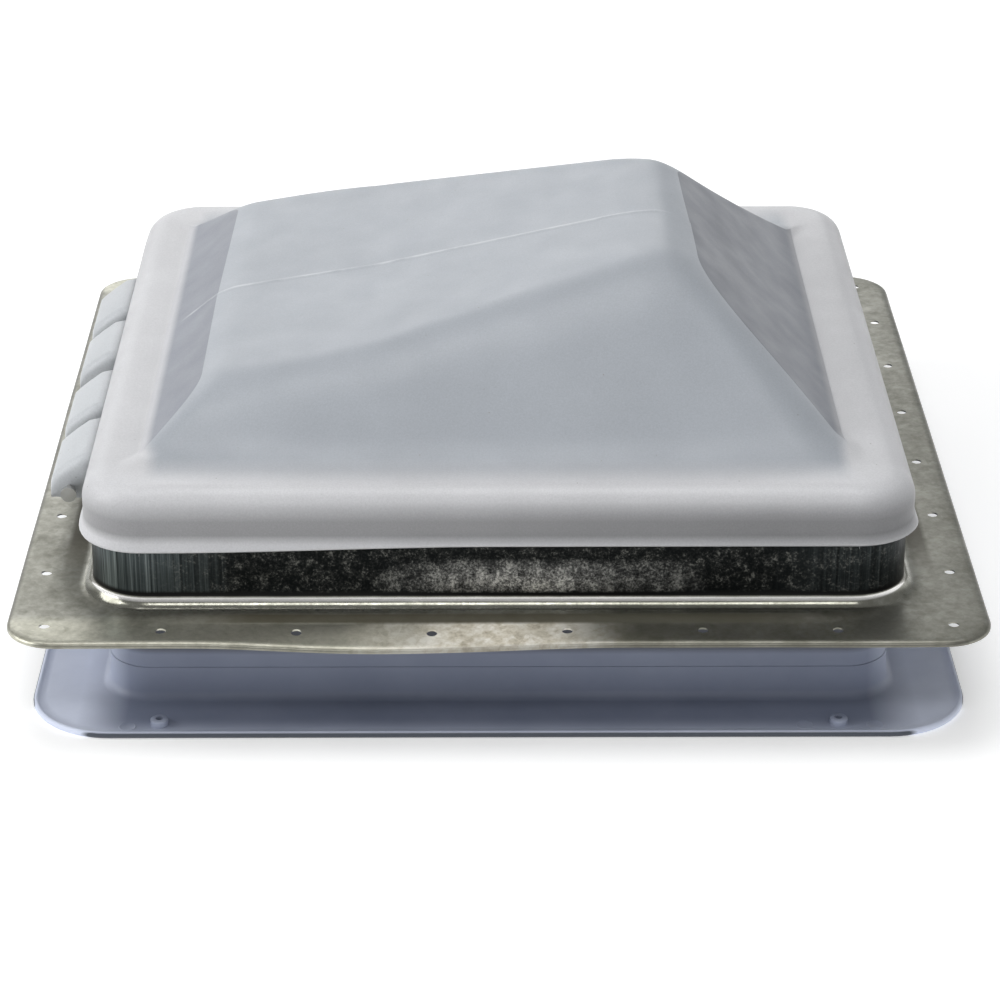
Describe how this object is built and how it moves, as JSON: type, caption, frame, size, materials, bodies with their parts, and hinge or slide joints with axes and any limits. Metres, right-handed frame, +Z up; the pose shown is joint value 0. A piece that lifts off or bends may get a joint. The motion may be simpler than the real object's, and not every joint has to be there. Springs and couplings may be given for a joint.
{
  "type": "roof vent cover",
  "caption": "Square roof vent for a caravan: hinged translucent domed lid on a galvanised base with a screened interior trim ring and a hand-crank lift.",
  "frame": {"origin": "under the middle of the trim ring, on its lowest face", "axes": "+Z up out of the roof, -X towards the hinge side, +X towards the opening side, Y along the hinge pin"},
  "size_m": [0.43, 0.43, 0.1683],
  "materials": {
    "galvanised_sheet": "hot-dip galvanised, faint spangle, satin",
    "zinc_steel": "bright zinc plated",
    "cast_zinc": "as-cast zinc alloy, matt",
    "lid_plastic": "translucent white moulded plastic, soft sheen",
    "trim_plastic": "moulded plastic, fine satin",
    "knob_plastic": "moulded plastic, soft sheen",
    "nylon": "natural nylon",
    "foam_seal": "closed-cell foam, matt black",
    "rubber": "black rubber, matt",
    "screen_mesh": "woven glass-fibre mesh, grey"
  },
  "bodies": {
    "base": {"base_flange": "galvanised_sheet", "operator_bar": "galvanised_sheet", "neck_gasket": "foam_seal", "leaf_rivet_1": "zinc_steel", "leaf_rivet_2": "zinc_steel", "leaf_rivet_3": "zinc_steel", "leaf_rivet_4": "zinc_steel", "leaf_rivet_5": "zinc_steel", "bar_rivet_1": "zinc_steel", "bar_rivet_2": "zinc_steel", "bar_rivet_3": "zinc_steel", "bar_rivet_4": "zinc_steel", "hinge_leaf": "zinc_steel", "hinge_pin": "zinc_steel", "hinge_pin_retainer": "zinc_steel", "worm_bushing": "nylon", "operator_housing": "cast_zinc", "operator_cover": "cast_zinc", "cover_screw_1": "zinc_steel", "cover_screw_2": "zinc_steel", "cover_screw_3": "zinc_steel", "foot_screw_1": "zinc_steel", "foot_screw_2": "zinc_steel", "foot_nut_1": "zinc_steel", "foot_nut_2": "zinc_steel", "trim_ring": "trim_plastic", "screen_frame": "trim_plastic", "insect_screen": "screen_mesh", "screen_grommet": "rubber", "screen_spline": "rubber"},
    "lid_body": {"lid": "lid_plastic", "track_rail": "zinc_steel", "track_hanger_front": "zinc_steel", "track_hanger_rear": "zinc_steel", "hanger_screw_front_1": "zinc_steel", "hanger_screw_front_2": "zinc_steel", "hanger_screw_rear_1": "zinc_steel", "hanger_screw_rear_2": "zinc_steel", "hanger_rivet_front_1": "zinc_steel", "hanger_rivet_front_2": "zinc_steel", "hanger_rivet_rear_1": "zinc_steel", "hanger_rivet_rear_2": "zinc_steel"},
    "arm_body": {"lift_arm": "zinc_steel", "worm_wheel": "nylon", "output_shaft": "zinc_steel", "arm_retainer": "zinc_steel", "roller_pin": "zinc_steel"},
    "roller_body": {"track_roller": "nylon"},
    "crank_body": {"worm_shaft": "zinc_steel", "crank_knob": "knob_plastic", "knob_screw": "zinc_steel"}
  },
  "joints": [
    {"name": "lid_hinge", "type": "hinge", "parent": "base", "child": "lid_body", "pos_m": [-0.1955, 0, 0.0751], "axis": [0, -1, 0], "range_deg": [0, 60]},
    {"name": "arm_pivot", "type": "hinge", "parent": "base", "child": "arm_body", "pos_m": [-0.06083, 0, 0.06568], "axis": [0, -1, 0], "range_deg": [0, 120]},
    {"name": "crank_turn", "type": "hinge", "parent": "base", "child": "crank_body", "pos_m": [-0.02983, -0.0145, 0.06568], "axis": [0, 0, -1], "range_deg": [0, 2880]},
    {"name": "roller_spin", "type": "hinge", "parent": "arm_body", "child": "roller_body", "pos_m": [0.06434, 0, 0.11625], "axis": [0, -1, 0], "continuous": true}
  ],
  "couplings": [
    {"joint": "arm_pivot", "follows": "lid_hinge", "ratio": 2},
    {"joint": "crank_turn", "follows": "lid_hinge", "ratio": 48}
  ]
}
